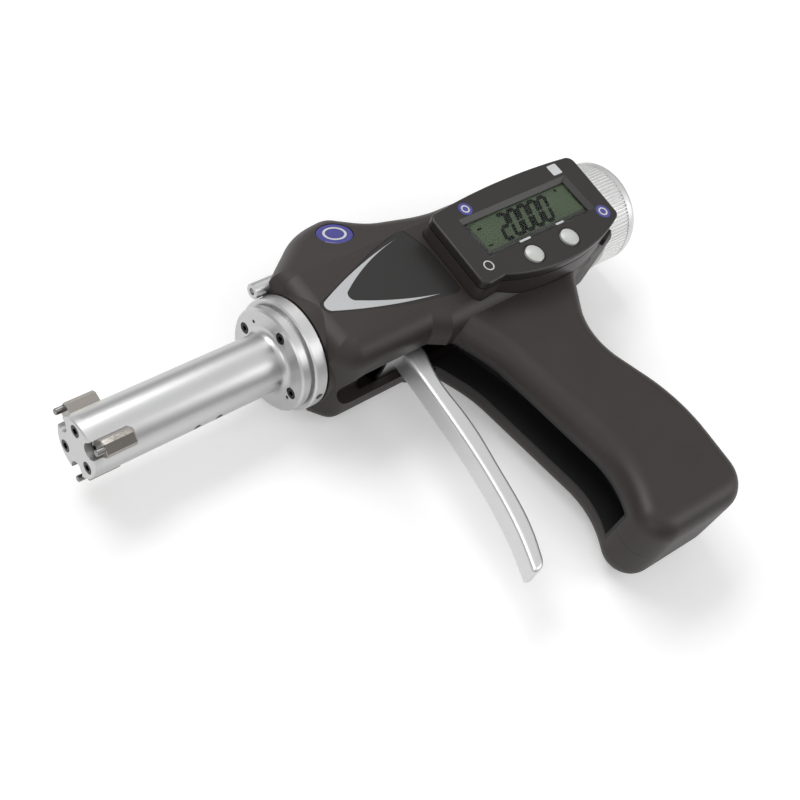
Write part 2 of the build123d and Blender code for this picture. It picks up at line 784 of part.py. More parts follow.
def button(place):
    x, y = place
    low = display_ledge - button_flange - 0.1
    top = display_face + 0.5
    body = post(x, y, low - 1.2, top, button_radius)
    sphere_radius = (button_radius ** 2 + button_crown ** 2) / (2 * button_crown)
    dome = Pos(x, y, top + button_crown - sphere_radius) * Sphere(sphere_radius)
    dome &= post(x, y, top, top + 2 * button_crown, button_radius)
    flange = post(x, y, low, low + button_flange, button_radius + 0.8)
    return body + dome + flange


def button_switches():
    top = display_ledge - button_flange - 0.1 - 1.2 - button_travel - 0.05
    return [post(x, y, board_top, top, 2.4) for x, y in button_places]


def battery():
    low = display_floor + display_wall
    return post(*battery_place, low, low + battery_thickness, battery_radius)


def battery_holder():
    low = display_floor + display_wall
    high = board_top - board_thickness
    ring = post(*battery_place, low, high, battery_radius + 1.3)
    ring -= post(*battery_place, low, high, battery_radius + running)
    x, y = battery_place
    return ring - block((x - 4, y, low - 1), (x + 4, y + 20, low + 5))


def scale_strip():
    start = bush_places[2] + bush_length + 1.5
    return block((start, -1.5, rod_radius - 0.6), (rod_end - 1.5, 1.5, rod_radius + 0.2))


def reader_head():
    head = block((156.0, -5.0, rod_radius + 0.5), (168.0, 5.0, 12.0))
    return head & bar(150.0, 175.0, rear_tunnel_radius)


def rear_block():
    body = bar(rear_block_start, tail_end, rear_block_radius)
    body -= travel_stop_bore(rear_block_start - 1, spindle_shoulder, running)
    body -= bar(rear_block_start, tail_end, spindle_radius + running)
    return body


def travel_stop_bore(start, end, extra):
    """A round bore with one flat, which keeps the travel stop from turning."""
    bore = bar(start, end, travel_stop_radius + extra)
    return bore - block((start - 1, -20, -20), (end + 1, -travel_stop_flat - extra, 20))


def travel_stop():
    end = travel_stop_start + travel_stop_length
    slug = travel_stop_bore(travel_stop_start, end, 0)
    return slug - bar(travel_stop_start + 1.2, end, thread_radius + running)


def rear_knob():
    back = knob_front + knob_length
    body = turned(
        (knob_front, 0), (knob_front, knob_radius - 1.2), (knob_front + 1.2, knob_radius),
        (back, knob_radius), (back, knob_radius - 4.0), (back - 0.6, knob_radius - 4.6), (back - 0.6, 0),
    )
    rim = [e for e in body.edges().filter_by(GeomType.CIRCLE)
           if abs(e.center().X - back) < 0.01 and abs(e.radius - knob_radius) < 0.01]
    body = fillet(rim, knob_rim)
    groove = bar(knob_front + 1.6, back - knob_plain_rim, knob_tooth_depth, knob_radius)
    body -= [around(360 / knob_teeth * n) * groove for n in range(knob_teeth)]
    body += bar(spindle_shoulder + 0.4, knob_front, spindle_radius)
    thread_start = travel_stop_start + 1.2 + travel_stop_travel + 0.3
    return body + bar(thread_start, spindle_shoulder + 0.4, thread_radius)


def build():
    """Every sub-part, by the name of its file."""
    head = Pos(head_start, 0, 0)
    parts = {
        "head_barrel": head * barrel(), "head_end_cap": head * end_cap(),
        "end_cap_screws": [head * screw for screw in cap_screws()],
        "flange_screws": [head * screw for screw in flange_screws()],
        "cone_mandrel": head * cone(), "thrust_collar": thrust_collar(),
        "return_spring": return_spring(), "spring_seat": spring_seat(), "nose_ring": nose_ring(),
        "ring_grub_screw": ring_grub(), "front_block": front_block(), "rear_block": rear_block(),
        "trigger_lever": trigger(), "trigger_pin": trigger_pin(), "trigger_stop_screw": stop_screw(),
        "housing_left": housing(1), "housing_right": housing(-1), "housing_screws": housing_screws(),
        "trigger_channel": channel_liner(), "side_panel": side_panel(), "panel_stripe": stripe_solid(),
        "round_badge": badge(), "display_case": display_case(), "display_gasket": display_gasket(),
        "display_bezel": display_bezel(), "display_screws": display_screws(),
        "display_window": display_window(),
        "lcd_panel": lcd_panel(), "lcd_holder": lcd_holder(), "circuit_board": circuit_board(),
        "button_mode": button(button_places[0]), "button_set": button(button_places[1]),
        "button_switches": button_switches(), "battery": battery(), "battery_holder": battery_holder(),
        "port_plug": port_plug(), "scale_strip": scale_strip(), "reader_head": reader_head(),
        "travel_stop": travel_stop(), "rear_knob": rear_knob(),
    }
    parts["push_rod"] = push_rod() - parts["scale_strip"]
    for number, angle in enumerate(anvil_angles, 1):
        parts[f"anvil_{number}"] = head * anvil(angle)
        parts[f"anvil_tip_{number}"] = head * anvil_tip(angle)
    for name, start in zip(("head", "body", "rear"), bush_places):
        parts[f"rod_bush_{name}"] = rod_bush(start, bush_length)
    return parts


def as_compound(piece):
    return Compound(children=list(piece)) if isinstance(piece, list) else Compound(children=piece.solids())


parts = {name: as_compound(piece) for name, piece in build().items()}
box = Compound(children=[copy for piece in parts.values() for copy in piece.solids()]).bounding_box()
origin_shift = Vector(-(box.min.X + box.max.X) / 2, -(box.min.Y + box.max.Y) / 2, -box.min.Z)
os.makedirs("parts", exist_ok=True)
for name, piece in parts.items():
    export_step(Pos(*origin_shift) * piece, f"parts/{name}.step")
print("origin moved by", [round(value, 3) for value in origin_shift], "and the box is", box.size)
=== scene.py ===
import math
import bpy
from mathutils import Matrix, Vector


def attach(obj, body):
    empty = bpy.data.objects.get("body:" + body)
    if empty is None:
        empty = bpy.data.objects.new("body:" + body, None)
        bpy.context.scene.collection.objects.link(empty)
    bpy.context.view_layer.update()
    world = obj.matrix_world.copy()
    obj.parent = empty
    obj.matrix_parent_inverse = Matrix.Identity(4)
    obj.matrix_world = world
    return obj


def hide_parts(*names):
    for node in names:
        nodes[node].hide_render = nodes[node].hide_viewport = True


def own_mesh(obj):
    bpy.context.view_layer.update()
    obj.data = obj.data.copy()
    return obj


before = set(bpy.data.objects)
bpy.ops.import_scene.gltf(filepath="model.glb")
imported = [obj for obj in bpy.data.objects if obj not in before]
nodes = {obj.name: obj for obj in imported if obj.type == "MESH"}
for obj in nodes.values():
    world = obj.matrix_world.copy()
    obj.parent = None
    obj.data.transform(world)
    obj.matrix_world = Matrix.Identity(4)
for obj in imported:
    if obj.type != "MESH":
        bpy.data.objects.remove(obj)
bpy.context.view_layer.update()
print("frame loaded,", len(nodes), "nodes")

# the gauge's own frame, in mm, in which X runs along the barrel from the head's face;
# this is how far it is moved to stand in the frame's place
gaugeShift = Vector((-111.25, 41.524, 18.6))


def place(x, y, z):
    return (Vector((x, y, z)) + gaugeShift) / 1000


def deselectAll():
    if bpy.context.object and bpy.context.object.mode != "OBJECT":
        bpy.ops.object.mode_set(mode="OBJECT")
    bpy.ops.object.select_all(action="DESELECT")


def only(obj):
    deselectAll()
    obj.select_set(True)
    bpy.context.view_layer.objects.active = obj


def settle(obj, name):  # name it and put its place into its mesh
    only(obj)
    bpy.ops.object.transform_apply(location=True, rotation=True, scale=True)
    obj.name = name
    obj.data.name = name
    return obj


def bevelEdges(obj, width, segments=2, angle=30):
    only(obj)
    mod = obj.modifiers.new("edges", "BEVEL")
    mod.width = width
    mod.segments = segments
    mod.limit_method = "ANGLE"
    mod.angle_limit = math.radians(angle)
    bpy.ops.object.modifier_apply(modifier=mod.name)


def smooth(obj, angle=30):
    only(obj)
    bpy.ops.object.shade_smooth_by_angle(angle=math.radians(angle))


# shader groups
def newGroup(name, inputs, outputs):
    group = bpy.data.node_groups.new(name, "ShaderNodeTree")
    for label, kind, value in inputs:
        socket = group.interface.new_socket(label, in_out="INPUT", socket_type=kind)
        socket.default_value = value
    for label, kind in outputs:
        group.interface.new_socket(label, in_out="OUTPUT", socket_type=kind)
    return group, group.nodes.new("NodeGroupInput"), group.nodes.new("NodeGroupOutput")


def grainGroup():  # fine moulded grain: a height and a slow cloud of tone
    group, gin, gout = newGroup(
        "mouldedGrain",
        [("Grain Scale", "NodeSocketFloat", 2600.0), ("Cloud Scale", "NodeSocketFloat", 60.0)],
        [("Height", "NodeSocketFloat"), ("Cloud", "NodeSocketFloat")])
    add = group.nodes.new
    coord = add("ShaderNodeTexCoord")
    fine, coarse, cloud = (add("ShaderNodeTexNoise") for n in range(3))
    fine.inputs["Detail"].default_value = 3
    coarse.inputs["Detail"].default_value = 2
    cloud.inputs["Detail"].default_value = 4
    half, mix = add("ShaderNodeMath"), add("ShaderNodeMath")
    half.operation, mix.operation = "MULTIPLY", "ADD"
    half.inputs[1].default_value = 0.45
    link = group.links.new
    for tex in (fine, coarse, cloud):
        link(coord.outputs["Object"], tex.inputs["Vector"])
    link(gin.outputs["Grain Scale"], fine.inputs["Scale"])
    link(gin.outputs["Grain Scale"], half.inputs[0])
    link(half.outputs[0], coarse.inputs["Scale"])
    link(gin.outputs["Cloud Scale"], cloud.inputs["Scale"])
    link(fine.outputs["Fac"], mix.inputs[0])
    link(coarse.outputs["Fac"], mix.inputs[1])
    link(mix.outputs[0], gout.inputs["Height"])
    link(cloud.outputs["Fac"], gout.inputs["Cloud"])
    return group


def turnedGroup():  # fine rings from turning or brushing along one axis of the object
    group, gin, gout = newGroup(
        "turnedLines",
        [("Across", "NodeSocketVector", (9000.0, 60.0, 60.0)), ("Cloud Scale", "NodeSocketFloat", 90.0)],
        [("Lines", "NodeSocketFloat"), ("Cloud", "NodeSocketFloat")])
    add = group.nodes.new
    coord, stretch = add("ShaderNodeTexCoord"), add("ShaderNodeVectorMath")
    lines, cloud = add("ShaderNodeTexNoise"), add("ShaderNodeTexNoise")
    stretch.operation = "MULTIPLY"
    lines.inputs["Scale"].default_value = 1.0
    lines.inputs["Detail"].default_value = 3
    cloud.inputs["Detail"].default_value = 3
    link = group.links.new
    link(coord.outputs["Object"], stretch.inputs[0])
    link(gin.outputs["Across"], stretch.inputs[1])
    link(stretch.outputs[0], lines.inputs["Vector"])
    link(coord.outputs["Object"], cloud.inputs["Vector"])
    link(gin.outputs["Cloud Scale"], cloud.inputs["Scale"])
    link(lines.outputs["Fac"], gout.inputs["Lines"])
    link(cloud.outputs["Fac"], gout.inputs["Cloud"])
    return group


def stepGroup():  # 0 to 1 where one axis of the object passes from a low place to a high one
    group, gin, gout = newGroup(
        "placeStep",
        [("Axis", "NodeSocketVector", (0.0, 1.0, 0.0)), ("Low", "NodeSocketFloat", 0.0),
         ("High", "NodeSocketFloat", 0.001)],
        [("Mask", "NodeSocketFloat")])
    coord, along = group.nodes.new("ShaderNodeTexCoord"), group.nodes.new("ShaderNodeVectorMath")
    step = group.nodes.new("ShaderNodeMapRange")
    along.operation = "DOT_PRODUCT"
    link = group.links.new
    link(coord.outputs["Object"], along.inputs[0])
    link(gin.outputs["Axis"], along.inputs[1])
    link(along.outputs["Value"], step.inputs["Value"])
    link(gin.outputs["Low"], step.inputs["From Min"])
    link(gin.outputs["High"], step.inputs["From Max"])
    link(step.outputs["Result"], gout.inputs["Mask"])
    return group


def seamGroup():  # a thin line round the object at one height, where two mouldings meet
    group, gin, gout = newGroup(
        "partingLine",
        [("Height", "NodeSocketFloat", 0.0186), ("Half Width", "NodeSocketFloat", 0.00018)],
        [("Mask", "NodeSocketFloat")])
    coord, split = group.nodes.new("ShaderNodeTexCoord"), group.nodes.new("ShaderNodeSeparateXYZ")
    near = group.nodes.new("ShaderNodeMath")
    near.operation = "COMPARE"
    link = group.links.new
    link(coord.outputs["Object"], split.inputs[0])
    link(split.outputs["Z"], near.inputs[0])
    link(gin.outputs["Height"], near.inputs[1])
    link(gin.outputs["Half Width"], near.inputs[2])
    link(near.outputs[0], gout.inputs["Mask"])
    return group


grain = grainGroup()
turned = turnedGroup()
placeStep = stepGroup()
partingLine = seamGroup()


def ramped(tree, source, low, high, fromLow=0.35, fromHigh=0.65):
    node = tree.nodes.new("ShaderNodeMapRange")
    node.inputs["From Min"].default_value = fromLow
    node.inputs["From Max"].default_value = fromHigh
    node.inputs["To Min"].default_value = low
    node.inputs["To Max"].default_value = high
    tree.links.new(source, node.inputs["Value"])
    return node.outputs["Result"]


def tinted(tree, source, dark, light):
    node = tree.nodes.new("ShaderNodeValToRGB")
    node.color_ramp.elements[0].position = 0.3
    node.color_ramp.elements[0].color = (*dark, 1)
    node.color_ramp.elements[1].position = 0.7
    node.color_ramp.elements[1].color = (*light, 1)
    tree.links.new(source, node.inputs["Fac"])
    return node.outputs["Color"]


def covered(tree, color, mask, over):  # a second colour wherever the mask is 1
    mix = tree.nodes.new("ShaderNodeMix")
    mix.data_type = "RGBA"
    mix.inputs["B"].default_value = (*over, 1)
    tree.links.new(mask, mix.inputs["Factor"])
    tree.links.new(color, mix.inputs["A"])
    return mix.outputs["Result"]


def material(name, look):
    mat = bpy.data.materials.new(name)
    mat.use_nodes = True
    tree = mat.node_tree
    shader = tree.nodes["Principled BSDF"]
    base = look["color"]
    swing = look.get("swing", 0.06)
    dark = [c * (1 - swing) for c in base]
    light = [min(1, c * (1 + swing)) for c in base]
    effect = tree.nodes.new("ShaderNodeGroup")
    if look.get("lines"):
        effect.node_tree = turned
        effect.inputs["Across"].default_value = look["lines"]
        height = effect.outputs["Lines"]
    else:
        effect.node_tree = grain
        effect.inputs["Grain Scale"].default_value = look.get("grain", 2600.0)
        height = effect.outputs["Height"]
    effect.inputs["Cloud Scale"].default_value = look.get("cloud", 60.0)
    color = tinted(tree, effect.outputs["Cloud"], dark, light)
    if look.get("blackFrom"):  # painted shade: near black where it is inside the housing
        step = tree.nodes.new("ShaderNodeGroup")
        step.node_tree = placeStep
        step.inputs["Low"].default_value, step.inputs["High"].default_value = look["blackFrom"]
        color = covered(tree, color, step.outputs["Mask"], look["black"])
    if look.get("seam"):
        line = tree.nodes.new("ShaderNodeGroup")
        line.node_tree = partingLine
        line.inputs["Height"].default_value = look["seam"]
        color = covered(tree, color, line.outputs["Mask"], [c * partingShade for c in base])
    tree.links.new(color, shader.inputs["Base Color"])
    rough = look["rough"]
    spread = look.get("roughSpread", 0.04)
    tree.links.new(ramped(tree, height, rough - spread, rough + spread), shader.inputs["Roughness"])
    if look.get("bump", 0):
        bump = tree.nodes.new("ShaderNodeBump")
        bump.inputs["Strength"].default_value = look["bump"]
        bump.inputs["Distance"].default_value = look.get("bumpDepth", 0.00002)
        tree.links.new(height, bump.inputs["Height"])
        tree.links.new(bump.outputs["Normal"], shader.inputs["Normal"])
    for socket, value in look.get("plain", {}).items():
        shader.inputs[socket].default_value = value
    return mat


metal = {"Metallic": 1.0}
triggerShadeSpan = (-18.2, -17.0)  # where painted shade turns the trigger near black inside the housing, across the gauge's own frame
partingShade = 0.3  # how dark the parting line is, as a share of the moulding's colour
looks = {
    "satinSteel": dict(color=(0.60, 0.60, 0.60), rough=0.34, roughSpread=0.03, grain=9000.0,
                       bump=0.10, bumpDepth=0.000006, swing=0.02, plain=metal),
    "ringSteel": dict(color=(0.64, 0.64, 0.64), rough=0.38, roughSpread=0.03, grain=8000.0,
                      bump=0.10, bumpDepth=0.000006, swing=0.02, plain=metal),
    "faceSteel": dict(color=(0.60, 0.60, 0.60), rough=0.42, roughSpread=0.03, grain=8000.0, bump=0.10,
                      bumpDepth=0.000006, swing=0.03, plain=metal),
    "darkSteel": dict(color=(0.045, 0.040, 0.038), rough=0.30, roughSpread=0.06, grain=4200.0, bump=0.08,
                      swing=0.08, plain=metal),
    "anvilSteel": dict(color=(0.36, 0.335, 0.31), rough=0.11, roughSpread=0.04,
                       lines=(900.0, 900.0, 7000.0), bump=0.06, swing=0.06, plain=metal),
    "tipSteel": dict(color=(0.26, 0.255, 0.25), rough=0.22, roughSpread=0.04, grain=3600.0, bump=0.05,
                     swing=0.05, plain=metal),
    "brightSteel": dict(color=(0.72, 0.72, 0.72), rough=0.16, roughSpread=0.04, grain=3600.0, bump=0.05,
                        swing=0.03, plain=metal),
    # the trigger's part inside the housing gets painted shade, a near-black colour
    "triggerSteel": dict(color=(0.72, 0.72, 0.72), rough=0.36, roughSpread=0.03, grain=8000.0, bump=0.10,
                         bumpDepth=0.000006, swing=0.02, black=(0.006, 0.006, 0.006), plain=metal,
                         blackFrom=tuple(place(0, y, 0).y for y in triggerShadeSpan)),
    "knobSteel": dict(color=(0.76, 0.76, 0.755), rough=0.42, roughSpread=0.04, grain=8000.0,
                      bump=0.08, bumpDepth=0.000006, swing=0.02, plain=metal),
    "springSteel": dict(color=(0.36, 0.36, 0.37), rough=0.32, grain=3000.0, bump=0.08, plain=metal),
    "bronze": dict(color=(0.46, 0.30, 0.15), rough=0.35, grain=3000.0, bump=0.1, plain=metal),
    "blockAlloy": dict(color=(0.55, 0.56, 0.57), rough=0.38, lines=(5000.0, 80.0, 80.0), bump=0.15,
                       plain=metal),
    "housingBlack": dict(color=(0.0275, 0.0215, 0.0195), rough=0.42, roughSpread=0.05, grain=2600.0,
                         bump=0.22, bumpDepth=0.00003, swing=0.10, seam=gaugeShift.z / 1000,
                         plain={"Specular IOR Level": 0.45}),
    "linerBlack": dict(color=(0.010, 0.010, 0.011), rough=0.55, grain=1800.0, bump=0.2, plain={}),
    "panelBlack": dict(color=(0.014, 0.0125, 0.012), rough=0.34, roughSpread=0.03, grain=3800.0, bump=0.06,
                       plain={}),
    "stripeSilver": dict(color=(0.56, 0.57, 0.58), rough=0.36, grain=5000.0, bump=0.05, swing=0.03,
                         plain={"Metallic": 0.75}),
    "badgeBlue": dict(color=(0.060, 0.055, 0.30), rough=0.22, grain=2400.0, bump=0.03, swing=0.08,
                      plain={"Coat Weight": 0.6, "Coat Roughness": 0.08}),
    "displayGrey": dict(color=(0.034, 0.028, 0.026), rough=0.38, roughSpread=0.04, grain=3200.0, bump=0.14,
                        swing=0.06, plain={}),
    "faceplate": dict(color=(0.019, 0.0165, 0.0155), rough=0.33, roughSpread=0.03, grain=3600.0, bump=0.08,
                      swing=0.06, plain={}),
    "gasketBlack": dict(color=(0.012, 0.012, 0.012), rough=0.6, grain=2400.0, bump=0.15, plain={}),
    "lcdGreen": dict(color=(0.052, 0.072, 0.040), rough=0.36, roughSpread=0.02, grain=6000.0, bump=0.02,
                     cloud=30.0, swing=0.05, plain={"Specular IOR Level": 0.2}),
    "lcdInk": dict(color=(0.003, 0.004, 0.003), rough=0.5, grain=6000.0, bump=0.02,
                   plain={"Specular IOR Level": 0.05}),
    "lcdFrame": dict(color=(0.55, 0.55, 0.53), rough=0.5, grain=2600.0, bump=0.1, plain={}),
    "boardGreen": dict(color=(0.02, 0.13, 0.06), rough=0.4, grain=2600.0, bump=0.1, plain={}),
    "buttonPale": dict(color=(0.60, 0.61, 0.58), rough=0.33, roughSpread=0.03, grain=3000.0, bump=0.05,
                       swing=0.03, plain={"Coat Weight": 0.3, "Coat Roughness": 0.15}),
    "markPale": dict(color=(0.62, 0.63, 0.63), rough=0.4, grain=3000.0, bump=0.03, swing=0.02, plain={}),
    "batterySteel": dict(color=(0.62, 0.62, 0.63), rough=0.25, grain=3000.0, bump=0.05, plain=metal),
    "whitePlastic": dict(color=(0.62, 0.62, 0.60), rough=0.45, grain=2600.0, bump=0.1, plain={}),
    "windowClear": dict(color=(0.95, 0.97, 0.95), rough=0.06, roughSpread=0.01, grain=900.0, swing=0.01,
                        plain={"Transmission Weight": 1.0, "IOR": 1.16}),
}
paints = {name: material(name, look) for name, look in looks.items()}
print("materials made,", len(paints))

nodeLook = {
    "head_barrel": "satinSteel", "head_end_cap": "faceSteel", "end_cap_screws": "darkSteel",
    "flange_screws": "darkSteel", "cone_mandrel": "brightSteel", "thrust_collar": "blockAlloy",
    "return_spring": "springSteel", "spring_seat": "blockAlloy", "nose_ring": "ringSteel",
    "ring_grub_screw": "darkSteel", "front_block": "blockAlloy", "rear_block": "blockAlloy",
    "trigger_lever": "triggerSteel", "trigger_pin": "darkSteel", "trigger_stop_screw": "satinSteel",
    "housing_left": "housingBlack", "housing_right": "housingBlack", "housing_screws": "darkSteel",
    "trigger_channel": "linerBlack", "side_panel": "panelBlack", "panel_stripe": "stripeSilver",
    "round_badge": "badgeBlue", "display_case": "displayGrey", "display_gasket": "gasketBlack",
    "display_bezel": "faceplate", "display_screws": "darkSteel", "display_window": "windowClear",
    "lcd_panel": "lcdGreen", "lcd_holder": "lcdFrame", "circuit_board": "boardGreen",
    "button_mode": "buttonPale", "button_set": "buttonPale", "button_switches": "whitePlastic",
    "battery": "batterySteel", "battery_holder": "whitePlastic", "port_plug": "gasketBlack",
    "scale_strip": "bronze", "reader_head": "boardGreen", "travel_stop": "brightSteel",
    "rear_knob": "knobSteel", "push_rod": "brightSteel", "rod_bush_head": "bronze",
    "rod_bush_body": "bronze", "rod_bush_rear": "bronze",
}
for n in (1, 2, 3):
    nodeLook[f"anvil_{n}"] = "anvilSteel"
    nodeLook[f"anvil_tip_{n}"] = "tipSteel"
for name, obj in nodes.items():
    obj.data.materials.clear()
    obj.data.materials.append(paints[nodeLook[name]])
print("frame nodes painted")


def pick(obj, test):  # enter edit mode with only the vertices that pass the test
    only(obj)
    bpy.ops.object.mode_set(mode="EDIT")
    bpy.ops.mesh.select_mode(type="VERT")
    bpy.ops.mesh.select_all(action="DESELECT")
    bpy.ops.object.mode_set(mode="OBJECT")
    for vertex in obj.data.vertices:
        vertex.select = test(vertex.co)
    bpy.ops.object.mode_set(mode="EDIT")


def joined(pieces, name):
    deselectAll()
    for piece in pieces:
        piece.select_set(True)
    bpy.context.view_layer.objects.active = pieces[0]
    bpy.ops.object.join()
    return settle(bpy.context.object, name)


def finished(obj, look):
    obj.data.materials.clear()
    obj.data.materials.append(paints[look])
    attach(obj, "gauge_body")
    return obj


def copyOf(obj, spot, turn=0.0):
    copy = bpy.data.objects.new(obj.name, obj.data.copy())
    bpy.context.scene.collection.objects.link(copy)
    copy.location = spot
    copy.rotation_euler = (0, 0, turn)
    return copy


def flatTile(spot, wide, tall, thick, corner):  # a thin plate with rounded corners
    deselectAll()
    bpy.ops.mesh.primitive_cube_add(size=1, location=spot)
    tile = bpy.context.object
    bpy.ops.object.mode_set(mode="EDIT")
    bpy.ops.transform.resize(value=(wide / 1000, tall / 1000, thick / 1000))
    bpy.ops.mesh.select_mode(type="EDGE")
    bpy.ops.mesh.select_all(action="DESELECT")
    bpy.ops.object.mode_set(mode="OBJECT")
    for edge in tile.data.edges:
        a, b = (tile.data.vertices[v].co for v in edge.vertices)
        edge.select = abs(a.z - b.z) > 0.5 * thick / 1000
    bpy.ops.object.mode_set(mode="EDIT")
    bpy.ops.mesh.bevel(offset=corner / 1000, segments=5, affect="EDGES")
    return settle(tile, "tile")


roundSides = 72  # of the plain rings and discs


def ring(spot, radius, width, thick, name):
    deselectAll()
    bpy.ops.mesh.primitive_cylinder_add(vertices=roundSides, radius=radius / 1000, depth=thick / 1000)
    band = bpy.context.object
    bpy.ops.object.mode_set(mode="EDIT")
    bpy.ops.mesh.select_mode(type="FACE")
    bpy.ops.mesh.select_all(action="DESELECT")
    bpy.ops.object.mode_set(mode="OBJECT")
    for face in band.data.polygons:
        face.select = abs(face.normal.z) > 0.9
    bpy.ops.object.mode_set(mode="EDIT")
    bpy.ops.mesh.inset(thickness=width / 1000)
    bpy.ops.mesh.bridge_edge_loops()
    bpy.ops.mesh.normals_make_consistent(inside=False)
    bpy.ops.object.mode_set(mode="OBJECT")
    band.location = spot
    return settle(band, name)


def disc(spot, radius, thick, name):
    deselectAll()
    bpy.ops.mesh.primitive_cylinder_add(vertices=roundSides, radius=radius / 1000, depth=thick / 1000,
                                        location=spot)
    plate = bpy.context.object
    bevelEdges(plate, 0.3 * thick / 1000, segments=3, angle=50)
    return settle(plate, name)


# the readout's figures, as dark segments that lie on the liquid crystal panel
readout = dict(figures="20000", left=152.3, bottom=-7.9, height=9.4, pitch=4.95, width=3.45, stroke=1.5,
               gap=0.14, slant=0.34, level=24.53, thick=0.03)
figureBars = {"0": "abcdef", "2": "abged"}


def readoutBar(length):  # a six-sided bar along Y, as wide as the stroke, with its points one gap apart
    across = readout["stroke"] / 1000
    half = (length - readout["stroke"] * 1.15 - readout["gap"]) / 2000
    deselectAll()
    bpy.ops.mesh.primitive_cylinder_add(vertices=6, radius=across * 0.577, depth=readout["thick"] / 1000)
    bar = bpy.context.object
    for side in (1, -1):
        pick(bar, lambda co: co.y * side > 0.00001)
        bpy.ops.transform.translate(value=(0, half * side, 0))
    return settle(bar, "bar")


def readoutFigures():
    r = readout
    upright = readoutBar(r["height"] / 2)
    level = readoutBar(r["width"])
    wide, tall = r["width"], r["height"]
    spots = {
        "a": (wide / 2, tall, 1), "g": (wide / 2, tall / 2, 1), "d": (wide / 2, 0, 1),
        "b": (wide, tall * 0.75, 0), "c": (wide, tall * 0.25, 0),
        "e": (0, tall * 0.25, 0), "f": (0, tall * 0.75, 0),
    }
    lean = Matrix.Identity(4)  # what leans the upright bars over
    lean[0][1] = r["slant"]
    bars = []
    for n, figure in enumerate(r["figures"]):
        for key in figureBars[figure]:
            x, y, flat = spots[key]
            spot = place(r["left"] + n * r["pitch"] + x + y * r["slant"], r["bottom"] + y, r["level"])
            copy = copyOf(level if flat else upright, spot, math.pi / 2 if flat else 0)
            if not flat:
                copy.data.transform(lean)
            bars.append(copy)
    for used in (upright, level):
        bpy.data.objects.remove(used)
    finished(joined(bars, "readoutFigures"), "lcdInk")


# small plain marks beside the figures, each given by its middle, its width and its height:
# two dashes on the left, a square on the upper right and a point among the figures
readoutSigns = dict(
    spots=((145.9, -0.35, 2.0, 0.9), (145.1, -7.3, 2.1, 0.7), (184.8, 1.6, 1.1, 1.2),
           (160.9, -8.0, 0.9, 0.9)),
    corner=0.2)  # as a share of the smaller side


def readoutMarks():
    tiles = []
    for x, y, wide, tall in readoutSigns["spots"]:
        corner = min(wide, tall) * readoutSigns["corner"]
        tiles.append(flatTile(place(x, y, readout["level"]), wide, tall, readout["thick"], corner))
    finished(joined(tiles, "readoutMarks"), "lcdInk")


# the dark border printed round the part of the panel that shows
readoutBorder = dict(outer=(139.8, 191.0, -11.7, 4.1), inner=(143.1, 190.4, -8.95, 3.4), level=24.525,
                     thick=0.02, rim=0.5)  # rim is how wide it is before its inner edges move


def borderFrame():
    b = readoutBorder
    left, right, bottom, top = b["outer"]
    inLeft, inRight, inBottom, inTop = b["inner"]
    middle = place((left + right) / 2, (bottom + top) / 2, b["level"])
    deselectAll()
    bpy.ops.mesh.primitive_plane_add(size=1, location=middle)
    frameObj = bpy.context.object
    bpy.ops.object.mode_set(mode="EDIT")
    bpy.ops.transform.resize(value=((right - left) / 1000, (top - bottom) / 1000, 1))
    bpy.ops.mesh.inset(thickness=b["rim"] / 1000)
    bpy.ops.mesh.delete(type="ONLY_FACE")
    # half a size that takes in the inner edges and leaves the outer ones
    inside = Vector((right - left, top - bottom)) / 2000 - Vector((b["rim"], b["rim"])) * 0.8 / 1000
    moves = (
        (lambda co: -inside.x < co.x < 0, inLeft - left - b["rim"], 0),
        (lambda co: 0 < co.x < inside.x, inRight - right + b["rim"], 0),
        (lambda co: -inside.y < co.y < 0, 0, inBottom - bottom - b["rim"]),
        (lambda co: 0 < co.y < inside.y, 0, inTop - top + b["rim"]),
    )
    for test, dx, dy in moves:
        pick(frameObj, test)
        bpy.ops.transform.translate(value=(dx / 1000, dy / 1000, 0))
    bpy.ops.object.mode_set(mode="OBJECT")
    solid = frameObj.modifiers.new("thickness", "SOLIDIFY")
    solid.thickness = b["thick"] / 1000
    bpy.ops.object.modifier_apply(modifier=solid.name)
    finished(settle(frameObj, "readoutBorder"), "gasketBlack")


# the housing's screws, each given by its middle, the outer face of its head and the end of its head.
# The two on the hump have low heads, because the flank slants in there.
screwSet = dict(
    spots=((84.0, 18.4, -14.62, -13.6), (124.6, 18.8, -14.62, -13.6), (196.5, -14.6, -16.35, -14.4),
           (163.0, -30.0, -14.8, -11.8), (160.0, -104.0, -14.8, -11.8), (141.0, -107.0, -14.8, -11.8)),
    headRadius=2.55, shankRadius=1.45, end=7.0, socketAcross=2.5, socketDepth=0.9, rim=0.25)


def housingScrew(x, y, face, seat):
    q = screwSet
    deselectAll()
    bpy.ops.mesh.primitive_cylinder_add(vertices=64, radius=q["headRadius"] / 1000,
                                        depth=(seat - face) / 1000, location=place(x, y, (face + seat) / 2))
    head = bpy.context.object
    bevelEdges(head, q["rim"] / 1000, segments=3, angle=50)
    deselectAll()
    bpy.ops.mesh.primitive_cylinder_add(vertices=6, radius=q["socketAcross"] / 1000 / math.sqrt(3),
                                        depth=2 * q["socketDepth"] / 1000, location=place(x, y, face))
    socket = bpy.context.object
    only(head)
    cut = head.modifiers.new("socket", "BOOLEAN")
    cut.object = socket
    bpy.ops.object.modifier_apply(modifier=cut.name)
    bpy.data.objects.remove(socket)
    bpy.ops.mesh.primitive_cylinder_add(vertices=32, radius=q["shankRadius"] / 1000,
                                        depth=(q["end"] - seat) / 1000,
                                        location=place(x, y, (seat + q["end"]) / 2))
    screw = joined([head, bpy.context.object], "screw")
    smooth(screw)
    return screw


def housingScrews():
    screws = [housingScrew(*spot) for spot in screwSet["spots"]]
    whole = finished(joined(screws, "housingScrews"), "darkSteel")
    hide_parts("housing_screws")
